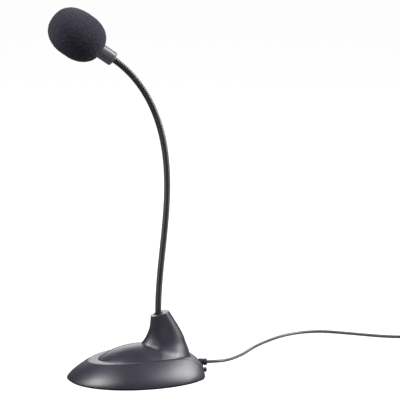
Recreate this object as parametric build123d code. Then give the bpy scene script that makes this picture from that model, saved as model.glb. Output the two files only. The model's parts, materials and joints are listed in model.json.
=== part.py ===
from build123d import *
import os
from math import asin, cos, degrees, pi, radians, sin, sqrt, tan

# Gooseneck desk microphone, millimetres.
# The origin is the centre of the flat underside, +Z is up, the nose of the base points to -Y and the
# cable leaves to +Y.

# ---------------------------------------------------------------- driving dimensions
# Base: in plan a front half-ellipse and a longer rear half-ellipse that the rear wall cuts off.
BASE_HALF_WIDTH = 38.5
WIDEST_Y = -2.0
NOSE_REACH = 48.5
HEEL_REACH = 56.5
REAR_CORNER_Y = 49.5
REAR_BULGE = 1.4
REAR_DRAFT = 0.19            # the rear wall leans in by this much for each mm of height

# The flank leans in as a power curve of the height: INSET at INSET_HEIGHT. The sides bulge more
# than the nose and the heel.
INSET = 16.0
INSET_HEIGHT = 17.3
SIDE_POWER = 1.7
END_POWER = 1.22
NOSE_LEAN = 1.25             # the nose leans in faster than the sides
HEEL_LEAN = 0.43             # and the heel slower

# Ledge between the two tiers: a long flat arch that bends down over the heel.
LEDGE_TOP_Z = 17.3
LEDGE_TOP_Y = 14.0
LEDGE_RADIUS = 300.0
HEEL_START_Y = 30.0
HEEL_RADIUS = 28.0

# Upper tier: two half-ellipsoids, front and rear, with one common cross-section.
DOME_CENTRE = (0, 4.0, 5.0)
DOME_HALF_WIDTH = 27.0
DOME_FRONT = 38.4
DOME_REAR = 42.0
DOME_HEIGHT = 19.5

# Tower: elliptical stations from the foot up (height, front y, rear y, half-width).
TOWER_STATIONS = (
    (14.0, 0.0, 39.9, 15.0),
    (20.0, 1.8, 37.9, 12.6),
    (25.0, 4.6, 36.0, 10.4),
    (30.0, 7.6, 34.2, 8.7),
    (36.0, 10.1, 31.2, 7.5),
    (43.0, 11.3, 27.3, 6.9),
    (51.0, 11.6, 23.4, 6.5),
)
TOWER_TOP = (0, 17.3, 47.4)
TOWER_SLANT = 17.0
NECK_HOLE_RADIUS = 3.0

WALL = 2.0
FLOOR_PAD = 1.2              # anti-slip pad thickness
PLATE = 2.0                  # bottom plate thickness
FIT = 0.15                   # gap round a piece that drops into another

# Neck: its heading from vertical is LEAN * s - DROOP * s * s degrees at arc length s, which leans
# back a little and then droops forward ever faster.
NECK_FOOT_Y = 16.8
NECK_FOOT_Z = 47.5
NECK_LEAN = 0.259
NECK_DROOP = 0.00268
NECK_LENGTH = 200.0
NECK_RADIUS = 2.4
NECK_BORE_RADIUS = 1.3
LEAD_RADIUS = 1.0
NECK_JOINTS = 10
NECK_GAP = 0.9               # bending room between neighbouring lengths of winding
NECK_BELOW = 18.0            # length hidden in the tower
NECK_IN_BARREL = 7.0

# Head, measured forward along its own axis from the rear end of the barrel.
BARREL_RADIUS = 5.45
BARREL_LENGTH = 30.0
BARREL_WALL = 0.8
FOAM_START = 10.3
FOAM_LENGTH = 42.5
FOAM_RADIUS = 17.2
FOAM_FIT = 0.04              # radial room round the barrel
FOAM_STOP = 0.2              # room ahead of the barrel's mouth

# Output cable and its 3.5 mm jack plug.
CORD_RADIUS = 1.2
COIL_TURNS_ACROSS = 4
COIL_LAYERS = 4
COIL_MEAN_RADIUS = 14.4
COIL_CENTRE = (-56.0, 247.0)
COIL_REST = 0.3              # the coil lies on its tie

os.makedirs("parts", exist_ok=True)


def save(name, shape):
    """Write one node, as separate solids where it has several."""
    solids = shape.solids()
    export_step(solids[0] if len(solids) == 1 else Compound(solids), f"parts/{name}.step")


# ---------------------------------------------------------------- base shapes
def inset_at(height, power):
    return INSET * (max(height, 0.0) / INSET_HEIGHT) ** power


def outline(height, margin=0.0):
    """Plan outline of the flank at one height, drawn in by margin, as a face."""
    half_width = BASE_HALF_WIDTH - inset_at(height, SIDE_POWER) - margin
    nose = NOSE_REACH - NOSE_LEAN * inset_at(height, END_POWER) - margin
    heel = HEEL_REACH - HEEL_LEAN * inset_at(height, END_POWER) - margin
    rear_y = REAR_CORNER_Y - REAR_DRAFT * height - margin
    corner = degrees(asin((rear_y - WIDEST_Y) / heel))
    centre = (0, WIDEST_Y)
    front = EllipticalCenterArc(centre, half_width, nose, 180, arc_size=180)
    right = EllipticalCenterArc(centre, half_width, heel, 0, arc_size=corner)
    left = EllipticalCenterArc(centre, half_width, heel, 180 - corner, arc_size=corner)
    back = ThreePointArc(right @ 1, (0, rear_y + REAR_BULGE), left @ 0)
    return Pos(0, 0, height) * make_face([front, right, back, left])


def flank(bottom, top, margin=0.0):
    """The leaning side body between two heights."""
    steps = 5
    heights = [bottom + (top - bottom) * i / steps for i in range(steps + 1)]
    return loft([outline(z, margin) for z in heights])


def below_ledge(drop=0.0):
    """Everything under the ledge surface, lowered by drop."""
    turn = asin((HEEL_START_Y - LEDGE_TOP_Y) / LEDGE_RADIUS)
    arch_centre = (LEDGE_TOP_Y, LEDGE_TOP_Z - LEDGE_RADIUS)
    offset = LEDGE_RADIUS - HEEL_RADIUS
    heel_centre = (arch_centre[0] + offset * sin(turn), arch_centre[1] + offset * cos(turn))

    def on_arc(centre, radius, angle):
        return (centre[0] + (radius - drop) * sin(angle), centre[1] + (radius - drop) * cos(angle))

    first = on_arc(arch_centre, LEDGE_RADIUS, asin(-80.0 / LEDGE_RADIUS))
    middle = on_arc(arch_centre, LEDGE_RADIUS, 0.0)
    join = on_arc(arch_centre, LEDGE_RADIUS, turn)
    on_heel = on_arc(heel_centre, HEEL_RADIUS, radians(30))
    last = on_arc(heel_centre, HEEL_RADIUS, radians(62))
    top = ThreePointArc(first, middle, join)
    rear = ThreePointArc(join, on_heel, last)
    sides = Polyline(last, (last[0] + 20, last[1]), (last[0] + 20, -30), (first[0], -30), first)
    return extrude(Plane.YZ * make_face([top, rear, sides]), 80, both=True)


def ledge_height(y):
    """Height of the ledge's flat arch, ahead of the heel."""
    return LEDGE_TOP_Z - LEDGE_RADIUS + sqrt(LEDGE_RADIUS**2 - (y - LEDGE_TOP_Y) ** 2)


def dome_halves(shrink=0.0):
    """The upper tier's ellipsoid as a front and a rear half."""
    halves = []
    for reach, side in ((DOME_FRONT, -1), (DOME_REAR, 1)):
        size = (DOME_HALF_WIDTH - shrink, reach - shrink, DOME_HEIGHT - shrink)
        whole = scale(Sphere(1), by=size)
        keep = Pos(0, side * reach, 0) * Box(4 * reach, 2 * reach, 4 * reach)
        halves.append(Pos(*DOME_CENTRE) * (whole & keep))
    return halves


def tower(shrink=0.0):
    """Loft through the stations, drawn in by shrink."""
    sections = []
    for height, front, rear, half_width in TOWER_STATIONS:
        centre = (0, (front + rear) / 2, height)
        sections.append(Pos(*centre) * Ellipse(half_width - shrink, (rear - front) / 2 - shrink))
    return loft(sections)


def above_slant(rise=0.0):
    """Everything above the slanted top of the tower."""
    return Pos(*TOWER_TOP) * Rot(TOWER_SLANT, 0, 0) * Pos(0, 0, 30 + rise) * Box(60, 60, 60)


def post(x, y, bottom, top, radius):
    return Pos(x, y, (bottom + top) / 2) * Cylinder(radius, top - bottom)


def bar(x, y, z):
    """A box from three (low, high) ranges."""
    size = (x[1] - x[0], y[1] - y[0], z[1] - z[0])
    return Pos((x[0] + x[1]) / 2, (y[0] + y[1]) / 2, (z[0] + z[1]) / 2) * Box(*size)


# ---------------------------------------------------------------- fastener places
PLATE_TOP = FLOOR_PAD + PLATE
PLATE_SCREWS = ((-25.0, 14.0), (25.0, 14.0), (-24.0, -21.0), (24.0, -21.0))
BALLAST_SCREWS = ((0.0, -24.0), (0.0, 12.0))
COVER_SCREWS = ((-13.0, 2.0), (13.0, 2.0), (0.0, -15.0))
CLAMP_SCREWS = ((0.0, 9.8), (0.0, 25.5))
WEB_BOTTOM = 29.0            # the web that carries the neck inside the tower
WEB_TOP = 32.0
COLLAR = 2.5
CLAMP_PLATE = 2.0
SCREW_RADIUS = 1.3
HEAD_RADIUS = 2.4
SCREW_HEAD = 1.4

BUSH_X = -6.5
BUSH_Z = 7.0
BUSH_END_Y = 54.5
SWITCH_X = 8.0               # the knob at rest, at the near end of its travel
SWITCH_Z = 5.05
SWITCH_TRAVEL = 2.0
KNOB_WIDTH = 3.0
KNOB_HEIGHT = 2.9
SWITCH_MID_X = SWITCH_X + SWITCH_TRAVEL / 2


def screw(x, y, seat, length):
    """A pan-head screw driven upwards, its head just under the seat height."""
    head = fillet(post(x, y, seat - SCREW_HEAD, seat, HEAD_RADIUS).edges().sort_by(Axis.Z)[0], 0.5)
    recess = post(x, y, seat - SCREW_HEAD, seat - 0.6, 0.35)
    cross = bar((x - 1.3, x + 1.3), (y - 0.25, y + 0.25), (seat - SCREW_HEAD, seat - 0.6))
    other = bar((x - 0.25, x + 0.25), (y - 1.3, y + 1.3), (seat - SCREW_HEAD, seat - 0.6))
    return head + post(x, y, seat, seat + length, SCREW_RADIUS) - recess - cross - other


# ---------------------------------------------------------------- base pieces
def base_shell():
    below = below_ledge()
    solid = flank(FLOOR_PAD, 19) & below
    cavity = flank(FLOOR_PAD - 0.5, 19, WALL) & below_ledge(WALL)
    shell = solid - cavity
    inner = flank(FLOOR_PAD, 19, WALL / 2) & below_ledge(WALL / 2)
    for x, y in PLATE_SCREWS:
        column = post(x, y, PLATE_TOP, 20, 3.2) & inner
        shell += column
    for x, y in PLATE_SCREWS:
        shell -= post(x, y, PLATE_TOP - 1, PLATE_TOP + 5.5, SCREW_RADIUS)
    for x, y in COVER_SCREWS:
        seat = ledge_height(y) - WALL - 1
        shell += post(x, y, seat, seat + 1.5, 3.2)
    for x, y in COVER_SCREWS:
        shell -= post(x, y, 10, 20, SCREW_RADIUS + 0.2)
    window = Pos(0, 19.5, 14) * extrude(Ellipse(8.5, 13.5), 10, both=True)
    shell -= window
    for side in (-1, 1):
        rib_x = SWITCH_MID_X + side * 5.4
        rib = bar((rib_x - 0.6, rib_x + 0.6), (41.2, 52), (PLATE_TOP + 0.1, 8.5)) & inner
        shell += rib
    shell -= Pos(BUSH_X, 46, BUSH_Z) * Rot(90, 0, 0) * Cylinder(2.1, 14)
    half_slot = KNOB_WIDTH / 2 + SWITCH_TRAVEL / 2 + 0.25
    shell -= bar((SWITCH_MID_X - half_slot, SWITCH_MID_X + half_slot), (44.5, 54),
                 (SWITCH_Z - KNOB_HEIGHT / 2 - 0.2, SWITCH_Z + KNOB_HEIGHT / 2 + 0.2))
    return shell


def top_cover():
    below = below_ledge()
    upper = tower() - above_slant() - below
    for half in dome_halves():
        upper += half - below
    inner_tower = tower(WALL) - above_slant(-2.5)
    cover = upper - (inner_tower - below_ledge(1.0))
    for half in dome_halves(WALL):
        cover -= half - below_ledge(1.0)
    bosses = tower(WALL / 2) & bar((-20, 20), (-10, 50), (WEB_BOTTOM, WEB_TOP))
    for x, y in CLAMP_SCREWS:
        bosses += post(x, y, WEB_BOTTOM - COLLAR, WEB_BOTTOM + 0.5, 2.6) & tower(WALL / 2)
    cover += bosses
    cover -= post(0, NECK_FOOT_Y, WEB_BOTTOM - 1, WEB_TOP + 1, NECK_HOLE_RADIUS + 0.05)
    for x, y in CLAMP_SCREWS:
        cover -= post(x, y, WEB_BOTTOM - COLLAR - 1, WEB_TOP - 0.6, SCREW_RADIUS)
    skin = [half - below for half in dome_halves(WALL / 2)]
    for x, y in COVER_SCREWS:
        side = 0 if y < DOME_CENTRE[1] else 1
        cover += post(x, y, 12, 30, 3.0) & skin[side]
    for x, y in COVER_SCREWS:
        cover -= post(x, y, 12, ledge_height(y) + 3.2, SCREW_RADIUS)
    cover -= post(0, NECK_FOOT_Y, WEB_TOP + 2, 60, NECK_HOLE_RADIUS)
    return cover


def bottom_plate():
    plate = flank(FLOOR_PAD, PLATE_TOP, WALL + FIT)
    for x, y in PLATE_SCREWS + BALLAST_SCREWS:
        plate -= post(x, y, 0, 5, SCREW_RADIUS + 0.2)
        plate -= post(x, y, 0, FLOOR_PAD + SCREW_HEAD, HEAD_RADIUS + 0.15)
    return plate


def anti_slip_pad():
    pad = extrude(outline(0, 0.7), FLOOR_PAD)
    for x, y in PLATE_SCREWS + BALLAST_SCREWS:
        pad -= post(x, y, -1, 2, HEAD_RADIUS + 0.6)
    return pad


BALLAST_TOP = PLATE_TOP + 5.0


def ballast_weight():
    block = bar((-18, 18), (-30, 18), (PLATE_TOP, BALLAST_TOP))
    block = chamfer(block.edges().filter_by(Axis.Z), 6)
    for x, y in BALLAST_SCREWS:
        block -= post(x, y, 0, 10, SCREW_RADIUS)
    return block


# ---------------------------------------------------------------- rear wall fittings
def cable_bush():
    """Moulded strain relief: an inner flange, a neck in the wall, an outer flange and an end disc."""
    def disc(start, end, radius):
        return Pos(BUSH_X, (start + end) / 2, BUSH_Z) * Rot(90, 0, 0) * Cylinder(radius, end - start)

    inner_flange = disc(43.8, 50, 3.0) & flank(FLOOR_PAD, 19, WALL + 0.1) & below_ledge(WALL + 0.1)
    outer_flange = disc(47, 51.5, 2.75) - flank(FLOOR_PAD, 19)
    end_disc = disc(52.3, BUSH_END_Y, 2.6)
    end_disc = fillet(end_disc.edges().sort_by(Axis.Y)[-1], 0.6)
    bush = inner_flange + outer_flange + disc(44, 53, 2.0) + end_disc
    return bush - disc(40, 60, CORD_RADIUS)


CAN_HALF_LENGTH = 4.6
CAN_BACK_Y = 41.6
CAN_FRONT_Y = 45.0
CAN_HALF_HEIGHT = 1.8
CAN_SHEET = 0.35
PIN_SPACING = 2.5
STEM_HALF = 0.9


def box_round(x, half_x, y, half_z):
    """A box centred on the switch's height."""
    return bar((x - half_x, x + half_x), y, (SWITCH_Z - half_z, SWITCH_Z + half_z))


def switch_frame():
    can = box_round(SWITCH_MID_X, CAN_HALF_LENGTH, (CAN_BACK_Y, CAN_FRONT_Y), CAN_HALF_HEIGHT)
    can -= box_round(SWITCH_MID_X, CAN_HALF_LENGTH - CAN_SHEET, (CAN_BACK_Y - 1, CAN_FRONT_Y - CAN_SHEET),
                     CAN_HALF_HEIGHT - CAN_SHEET)
    slot_half = STEM_HALF + SWITCH_TRAVEL / 2 + 0.2
    return can - box_round(SWITCH_MID_X, slot_half, (CAN_FRONT_Y - 1, CAN_FRONT_Y + 1), STEM_HALF + 0.1)


def pins(half_x, half_z):
    bars = []
    for step in (-1, 0, 1):
        bars.append(box_round(SWITCH_MID_X + step * PIN_SPACING, half_x, (38.8, 42.8), half_z))
    return bars


def switch_base():
    base = box_round(SWITCH_MID_X, CAN_HALF_LENGTH - CAN_SHEET - 0.05, (CAN_BACK_Y, 42.5),
                     CAN_HALF_HEIGHT - CAN_SHEET - 0.05)
    for pin in pins(0.4, 0.25):
        base -= pin
    return base


def switch_knob():
    slider = box_round(SWITCH_X, 1.6, (43.3, 44.5), CAN_HALF_HEIGHT - CAN_SHEET - 0.1)
    stem = box_round(SWITCH_X, STEM_HALF, (44.4, 48), STEM_HALF)
    cap = box_round(SWITCH_X, KNOB_WIDTH / 2, (47.4, 51.7), KNOB_HEIGHT / 2)
    cap = chamfer(cap.edges().filter_by(Axis.X).sort_by(Axis.Y)[-2:].sort_by(Axis.Z)[0], 0.9)
    cap = fillet(cap.edges().filter_by(Axis.Z).sort_by(Axis.Y)[-2:], 0.4)
    return slider + stem + cap


# ---------------------------------------------------------------- neck
def neck_heading(s):
    """Angle from vertical in radians at arc length s, positive towards the rear."""
    t = min(max(s, 0.0), NECK_LENGTH)
    return radians(NECK_LEAN * t - NECK_DROOP * t * t)


def neck_point(s):
    """Centre of the neck at arc length s above the tower's top."""
    steps = 200
    y, z = NECK_FOOT_Y, NECK_FOOT_Z
    for i in range(steps):
        heading = neck_heading(s * (i + 0.5) / steps)
        y += sin(heading) * s / steps
        z += cos(heading) * s / steps
    return Vector(0, y, z)


def neck_rod(start, end, radius):
    """A round rod along the neck between two arc lengths."""
    path = ThreePointArc(neck_point(start), neck_point((start + end) / 2), neck_point(end))
    return sweep(Plane(origin=path @ 0, z_dir=path % 0) * Circle(radius), path)


JOINT_STEP = NECK_LENGTH / NECK_JOINTS
JOINT_PLACES = [JOINT_STEP * (i + 0.5) for i in range(NECK_JOINTS)]


def neck_lengths(below, beyond):
    """Start and end of each length between the joints, with bending room at every joint."""
    starts = [-below] + [s + NECK_GAP / 2 for s in JOINT_PLACES]
    ends = [s - NECK_GAP / 2 for s in JOINT_PLACES] + [NECK_LENGTH + beyond]
    return zip(starts, ends)


def neck_ferrule_lower():
    flange = post(0, NECK_FOOT_Y, WEB_BOTTOM - COLLAR, WEB_BOTTOM, 4.4)
    ferrule = flange + post(0, NECK_FOOT_Y, WEB_BOTTOM - 1, 44, NECK_HOLE_RADIUS - 0.05)
    ferrule -= post(0, NECK_FOOT_Y, NECK_FOOT_Z - NECK_BELOW - 0.1, 45, NECK_RADIUS + 0.1)
    return ferrule - post(0, NECK_FOOT_Y, 20, 45, NECK_BORE_RADIUS)


def neck_clamp_plate():
    top = WEB_BOTTOM - COLLAR
    plate = bar((-4.6, 4.6), (7.8, 27.8), (top - CLAMP_PLATE, top))
    plate = chamfer(plate.edges().filter_by(Axis.Z), 3)
    plate -= post(0, NECK_FOOT_Y, 20, 30, 2.2)
    for x, y in CLAMP_SCREWS:
        plate -= post(x, y, 20, 30, SCREW_RADIUS + 0.2)
    return plate


# ---------------------------------------------------------------- head
HEAD_HEADING = neck_heading(NECK_LENGTH)
HEAD_AXIS = Vector(0, sin(HEAD_HEADING), cos(HEAD_HEADING))
HEAD_PLACE = Plane(origin=neck_point(NECK_LENGTH), z_dir=HEAD_AXIS, x_dir=(1, 0, 0)).location
FERRULE_END = 8.0
LEAD_END = 9.0
BOARD_START = 20.4
CAPSULE_START = 21.0
CAPSULE_END = 26.0
CAPSULE_RADIUS = 3.0
GRILLE_START = 27.2
GRILLE_END = 28.0
BARREL_BORE = BARREL_RADIUS - BARREL_WALL


def round_piece(start, end, radius, bore=0.0):
    """A disc or tube on the head's axis, in the head's own frame."""
    piece = post(0, 0, start, end, radius)
    return piece - post(0, 0, start - 1, end + 1, bore) if bore else piece


def head_barrel():
    barrel = round_piece(0, BARREL_LENGTH, BARREL_RADIUS)
    barrel = fillet(barrel.edges().sort_by(Axis.Z)[0], 1.3)
    barrel -= post(0, 0, 2.5, BARREL_LENGTH + 1, BARREL_BORE)
    barrel -= post(0, 0, -1, 3, NECK_RADIUS + 0.12)
    return HEAD_PLACE * fillet(barrel.edges().sort_by(Axis.Z)[-1], 0.3)


def capsule_grille():
    grille = round_piece(GRILLE_START, GRILLE_END, BARREL_BORE - 0.05)
    for ring_radius, count in ((0.0, 1), (1.5, 6), (3.0, 12)):
        for i in range(count):
            angle = 2 * pi * i / count
            grille -= post(ring_radius * cos(angle), ring_radius * sin(angle), 27, 29, 0.45)
    return HEAD_PLACE * grille


def windscreen():
    """A foam ellipsoid with a blind bore for the barrel."""
    half_length = FOAM_LENGTH / 2
    middle = FOAM_START + half_length
    edge = EllipticalCenterArc((0, middle), FOAM_RADIUS, half_length, -90, arc_size=180)
    foam = revolve(Plane.XZ * make_face([edge, Line(edge @ 1, edge @ 0)]), Axis.Z)
    bore = post(0, 0, FOAM_START - 1, BARREL_LENGTH + FOAM_STOP, BARREL_RADIUS + FOAM_FIT)
    return HEAD_PLACE * (foam - bore)


# ---------------------------------------------------------------- inner leads
def lead(points, radius):
    """A thin lead through hand-placed points, with each corner as round as its runs allow."""
    path = FilletPolyline(*points, radius=corner_radii(points))
    return sweep(Plane(origin=path @ 0, z_dir=path % 0) * Circle(radius), path)


MIC_TAIL = [
    (0, NECK_FOOT_Y, NECK_FOOT_Z - NECK_BELOW - 3),
    (0, NECK_FOOT_Y, 15.0),
    (3.0, 24.0, 10.5),
    (SWITCH_MID_X, 31.0, 8.0),
    (SWITCH_MID_X + PIN_SPACING, 38.0, SWITCH_Z),
]
OUTPUT_TAIL = [
    (BUSH_X, BUSH_END_Y, BUSH_Z),
    (BUSH_X, 40.0, BUSH_Z),
    (-2.5, 34.0, BUSH_Z),
    (3.0, 34.5, 6.0),
    (SWITCH_MID_X - PIN_SPACING, 38.0, SWITCH_Z),
]


def corner_radii(points):
    """At each corner 0.45 of the shorter run over the tangent of half the turn."""
    radii = []
    vectors = [Vector(*b) - Vector(*a) for a, b in zip(points, points[1:])]
    for before, after in zip(vectors, vectors[1:]):
        half_turn = radians(before.get_angle(after)) / 2
        radii.append(0.45 * min(before.length, after.length) / tan(half_turn))
    return radii


# ---------------------------------------------------------------- output cable
# The route, by hand: straight out of the bush, down to the table, away from the base in one long
# bend and on to the coil.
CORD_REST_Z = CORD_RADIUS
COIL_OUTER = COIL_MEAN_RADIUS + (COIL_TURNS_ACROSS - 1) * CORD_RADIUS
COIL_INNER = COIL_MEAN_RADIUS - (COIL_TURNS_ACROSS - 1) * CORD_RADIUS
COIL_BOTTOM = COIL_REST
COIL_TOP = COIL_REST + 2 * CORD_RADIUS * COIL_LAYERS
COIL_SKIN = 0.3
COIL_START = (COIL_CENTRE[0] - COIL_OUTER, COIL_CENTRE[1])
LEAD_ROUTE = [
    (BUSH_X, BUSH_END_Y, BUSH_Z),
    (BUSH_X, BUSH_END_Y + 9.2, BUSH_Z),
    (-12.8, 72.0, 6.0),
    (-27.0, 81.0, 4.0),
    (-46.0, 91.0, 1.4),
    (-72.0, 107.0, CORD_REST_Z),
    (-102.0, 137.0, CORD_REST_Z),
    (-109.0, 165.0, CORD_REST_Z),
    (-97.0, 188.0, CORD_REST_Z),
    (-78.0, 218.0, CORD_REST_Z + 0.1),
    (COIL_START[0], COIL_START[1] - 2, CORD_REST_Z + COIL_REST),
]
PLUG_REAR = (-20.0, 262.5)
PLUG_RADIUS = 4.0
TAIL_ROUTE = [
    (COIL_CENTRE[0] + 2, COIL_CENTRE[1] + COIL_OUTER, COIL_TOP - CORD_RADIUS),
    (COIL_CENTRE[0] + 14, COIL_CENTRE[1] + COIL_OUTER - 0.2, COIL_TOP - CORD_RADIUS - 1.0),
    (PLUG_REAR[0] - 11, PLUG_REAR[1], PLUG_RADIUS),
    (PLUG_REAR[0], PLUG_REAR[1], PLUG_RADIUS),
]


def cord(name, route):
    """A length of the cable as a tube; prints its bends and how true its volume is."""
    tube = lead(route, CORD_RADIUS)
    path = FilletPolyline(*route, radius=corner_radii(route))
    ideal = pi * CORD_RADIUS**2 * path.length
    print(name, "length", round(path.length, 1), "radii", [round(r, 1) for r in corner_radii(route)],
          "volume ratio", round(tube.volume / ideal, 4))
    return tube


def cord_coil():
    """The outer shape of the put-away coil: a ring with an upright bore."""
    ring = post(*COIL_CENTRE, COIL_BOTTOM, COIL_TOP, COIL_OUTER + CORD_RADIUS)
    return ring - post(*COIL_CENTRE, 0, COIL_TOP + 1, COIL_INNER - CORD_RADIUS)


TIE_ANGLE = -60.0
TIE_WIDTH = 4.0


def coil_tie():
    """A flat strap round the coil's section."""
    inner = COIL_INNER - CORD_RADIUS - COIL_SKIN
    outer = COIL_OUTER + CORD_RADIUS + COIL_SKIN
    strap = bar((inner - COIL_REST, outer + COIL_REST), (-TIE_WIDTH / 2, TIE_WIDTH / 2),
                (0, COIL_TOP + COIL_REST))
    strap -= bar((inner, outer), (-TIE_WIDTH, TIE_WIDTH), (COIL_BOTTOM, COIL_TOP + 0.01))
    return Pos(*COIL_CENTRE, 0) * Rot(0, 0, TIE_ANGLE) * strap


# Jack plug on its own axis, starting at the cable end of its strain relief.
PLUG_PLACE = Pos(*PLUG_REAR, PLUG_RADIUS) * Rot(0, 90, 0)
RELIEF_LENGTH = 9.0
GRIP_LENGTH = 15.0
GRIP_END = RELIEF_LENGTH + GRIP_LENGTH
PIN_RADIUS = 1.75
PIN_LENGTH = 14.0
RING_START = GRIP_END + 6.4
TIP_START = GRIP_END + 9.6
INSULATOR = 0.7


def plug_body():
    relief = Pos(0, 0, RELIEF_LENGTH / 2) * Cone(CORD_RADIUS + 0.5, 2.6, RELIEF_LENGTH)
    for i in range(3):
        relief -= round_piece(1.8 + 2.4 * i, 2.6 + 2.4 * i, 5, 1.45 + 0.2 * i)
    grip = round_piece(RELIEF_LENGTH, GRIP_END, PLUG_RADIUS)
    grip = fillet(grip.edges().filter_by(GeomType.CIRCLE), 1.0)
    for i in range(5):
        place = RELIEF_LENGTH + 4 + 1.8 * i
        grip -= round_piece(place, place + 0.7, 6, PLUG_RADIUS - 0.35)
    return PLUG_PLACE * (relief + grip)


def plug_collar():
    return PLUG_PLACE * round_piece(GRIP_END, GRIP_END + 1.2, 2.9)


def plug_sleeve():
    return PLUG_PLACE * round_piece(GRIP_END + 1.2, RING_START - INSULATOR, PIN_RADIUS)


def plug_ring():
    return PLUG_PLACE * round_piece(RING_START, TIP_START - INSULATOR, PIN_RADIUS)


def plug_tip():
    """The tip's waist and its cone."""
    end = GRIP_END + PIN_LENGTH
    outline_points = [(0, TIP_START), (PIN_RADIUS, TIP_START), (PIN_RADIUS, TIP_START + 0.9),
                      (1.25, TIP_START + 1.7), (1.65, TIP_START + 2.6), (0.5, end), (0, end)]
    face = Plane.XZ * make_face(Polyline(*outline_points, close=True))
    return PLUG_PLACE * revolve(face, Axis.Z)


def plug_insulators():
    rings = [round_piece(start - INSULATOR, start, PIN_RADIUS) for start in (RING_START, TIP_START)]
    return PLUG_PLACE * Compound(rings)


# ---------------------------------------------------------------- write every node
save("base_shell", base_shell())
save("top_cover", top_cover())
save("bottom_plate", bottom_plate())
save("anti_slip_pad", anti_slip_pad())
save("ballast_weight", ballast_weight())
plate_seat = FLOOR_PAD + SCREW_HEAD
save("plate_screws", Compound([screw(x, y, plate_seat, 5.5) for x, y in PLATE_SCREWS]))
save("ballast_screws", Compound([screw(x, y, plate_seat, 4.5) for x, y in BALLAST_SCREWS]))
save("cover_screws", Compound([screw(x, y, ledge_height(y) - WALL - 1, 5.5) for x, y in COVER_SCREWS]))

save("cable_bush", cable_bush())
save("switch_frame", switch_frame())
save("switch_base", switch_base())
save("switch_terminals", Compound(pins(0.4, 0.25)))
save("switch_contact", box_round(SWITCH_X, 1.5, (42.95, 43.3), 0.6))
save("switch_knob", switch_knob())

save("neck_ferrule_lower", neck_ferrule_lower())
save("neck_clamp_plate", neck_clamp_plate())
clamp_seat = WEB_BOTTOM - COLLAR - CLAMP_PLATE
save("clamp_screws", Compound([screw(x, y, clamp_seat, 6.2) for x, y in CLAMP_SCREWS]))
for i, (start, end) in enumerate(neck_lengths(NECK_BELOW, NECK_IN_BARREL)):
    winding = neck_rod(start, end, NECK_RADIUS) - neck_rod(start, end, NECK_BORE_RADIUS)
    save(f"neck_winding_{i:02d}", winding)
for i, (start, end) in enumerate(neck_lengths(NECK_BELOW + 3, LEAD_END)):
    save(f"neck_lead_{i:02d}", neck_rod(start, end, LEAD_RADIUS))

save("head_barrel", head_barrel())
save("neck_ferrule_upper", HEAD_PLACE * round_piece(2.55, FERRULE_END, BARREL_BORE - 0.05, NECK_RADIUS + 0.15))
wires = [Pos(side * 0.5, 0, 0) * round_piece(LEAD_END, BOARD_START, 0.35) for side in (-1, 1)]
save("capsule_wires", HEAD_PLACE * Compound(wires))
save("capsule_board", HEAD_PLACE * round_piece(BOARD_START, CAPSULE_START, CAPSULE_RADIUS - 0.1))
save("electret_capsule", HEAD_PLACE * round_piece(CAPSULE_START, CAPSULE_END, CAPSULE_RADIUS))
save("capsule_holder", HEAD_PLACE * round_piece(20, 27, BARREL_BORE - 0.05, CAPSULE_RADIUS + 0.03))
save("capsule_felt", HEAD_PLACE * round_piece(CAPSULE_END, CAPSULE_END + 0.6, CAPSULE_RADIUS))
save("capsule_grille", capsule_grille())
save("windscreen", windscreen())

save("mic_lead_tail", lead(MIC_TAIL, LEAD_RADIUS))
save("output_lead_tail", lead(OUTPUT_TAIL, CORD_RADIUS))
save("cord_lead", cord("cord_lead", LEAD_ROUTE))
save("cord_coil", cord_coil())
save("coil_tie", coil_tie())
save("cord_tail", cord("cord_tail", TAIL_ROUTE))
save("plug_body", plug_body())
save("plug_collar", plug_collar())
save("plug_sleeve", plug_sleeve())
save("plug_ring", plug_ring())
save("plug_tip", plug_tip())
save("plug_insulators", plug_insulators())
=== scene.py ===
"""Looks of the gooseneck desk microphone: camera, cable, neck, windscreen, base and studio."""
import json
from math import asin, cos, pi, radians, sin, sqrt

import bmesh
import bpy
import numpy as np
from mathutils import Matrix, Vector, noise


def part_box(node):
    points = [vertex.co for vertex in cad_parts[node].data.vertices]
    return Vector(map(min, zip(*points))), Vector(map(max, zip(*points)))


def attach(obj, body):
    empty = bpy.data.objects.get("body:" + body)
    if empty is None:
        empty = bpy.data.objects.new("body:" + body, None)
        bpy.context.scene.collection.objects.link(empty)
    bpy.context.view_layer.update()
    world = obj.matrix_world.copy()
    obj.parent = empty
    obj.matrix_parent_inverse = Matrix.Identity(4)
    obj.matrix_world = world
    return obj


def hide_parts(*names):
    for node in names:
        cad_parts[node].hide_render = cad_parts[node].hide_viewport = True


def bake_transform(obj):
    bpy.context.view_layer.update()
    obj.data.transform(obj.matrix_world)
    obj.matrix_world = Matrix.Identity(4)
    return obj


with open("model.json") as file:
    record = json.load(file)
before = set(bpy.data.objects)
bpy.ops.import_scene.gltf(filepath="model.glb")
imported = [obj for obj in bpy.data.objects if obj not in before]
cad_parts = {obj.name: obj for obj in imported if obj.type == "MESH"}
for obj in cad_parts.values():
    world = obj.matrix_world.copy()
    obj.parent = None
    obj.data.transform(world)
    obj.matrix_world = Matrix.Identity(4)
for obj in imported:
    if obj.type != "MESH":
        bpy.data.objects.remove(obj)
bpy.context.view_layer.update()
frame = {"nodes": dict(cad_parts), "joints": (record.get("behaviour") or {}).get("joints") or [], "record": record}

nodes = frame["nodes"]
joints = {joint["name"]: joint for joint in frame["joints"]}
MM = 0.001


# ---------------------------------------------------------------- camera
# Measured from the origin, along and across the direction that the camera looks in.
CAMERA_AZIMUTH = 80.0
CAMERA_PITCH = 9.2
CAMERA_BACK = 1.150
CAMERA_SIDEWAYS = 0.0475
CAMERA_HEIGHT = 0.319
CAMERA_LENS = 143.7


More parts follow.
